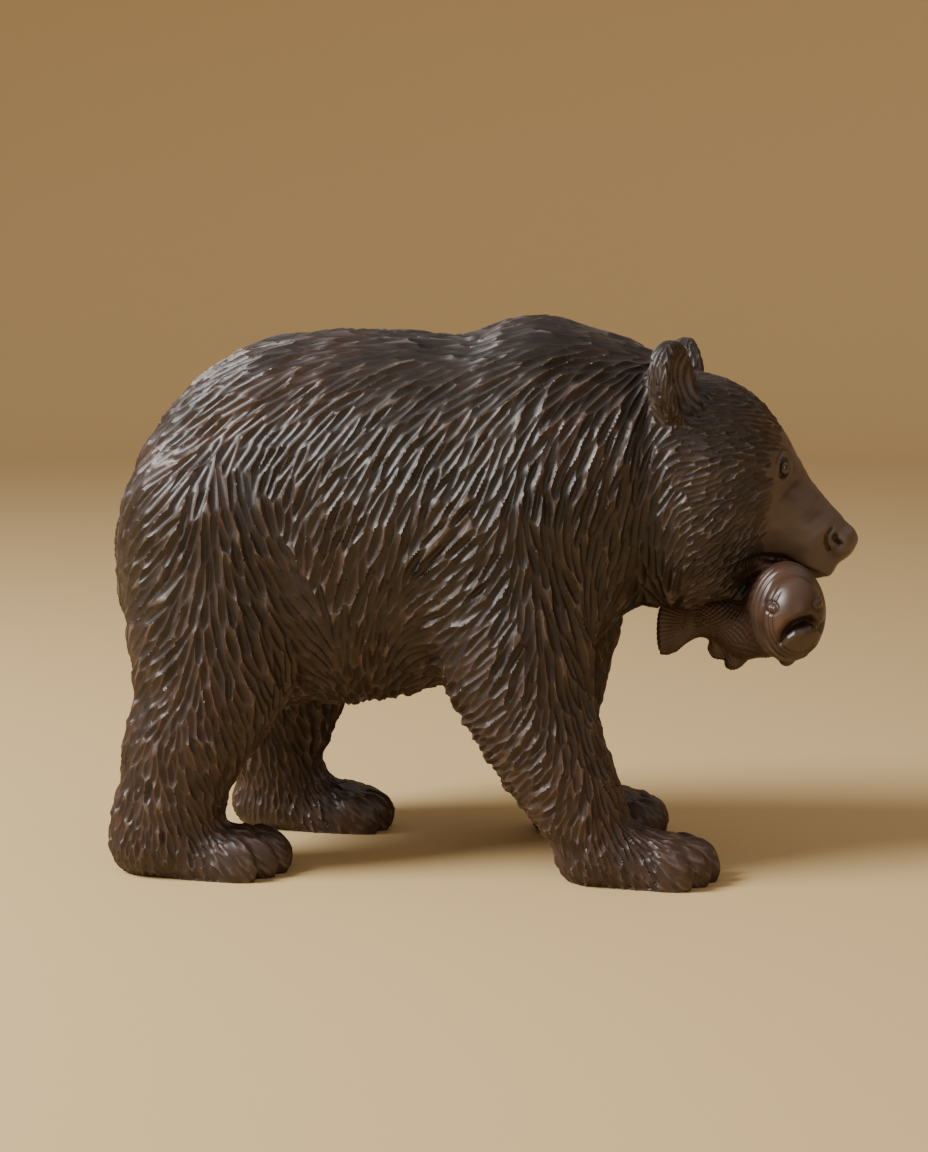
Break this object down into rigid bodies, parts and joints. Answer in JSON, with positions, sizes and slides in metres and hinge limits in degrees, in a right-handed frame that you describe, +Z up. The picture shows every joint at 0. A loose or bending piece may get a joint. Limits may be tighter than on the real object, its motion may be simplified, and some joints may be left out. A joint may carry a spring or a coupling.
{
  "type": "carved wooden bear",
  "caption": "Carved wooden bear walking on all fours, with a salmon held crosswise in its mouth, cut from one block.",
  "frame": {"origin": "centre of the bounding box, on the surface that the four soles stand on", "axes": "+X forwards, the way the bear walks, +Y to its left, +Z up"},
  "size_m": [0.4034, 0.165, 0.2954],
  "materials": {
    "wood": "dark stained and waxed, semi-satin, with gouge cuts left as they fell"
  },
  "bodies": {
    "root": {"carved_bear": "wood"}
  },
  "joints": []
}
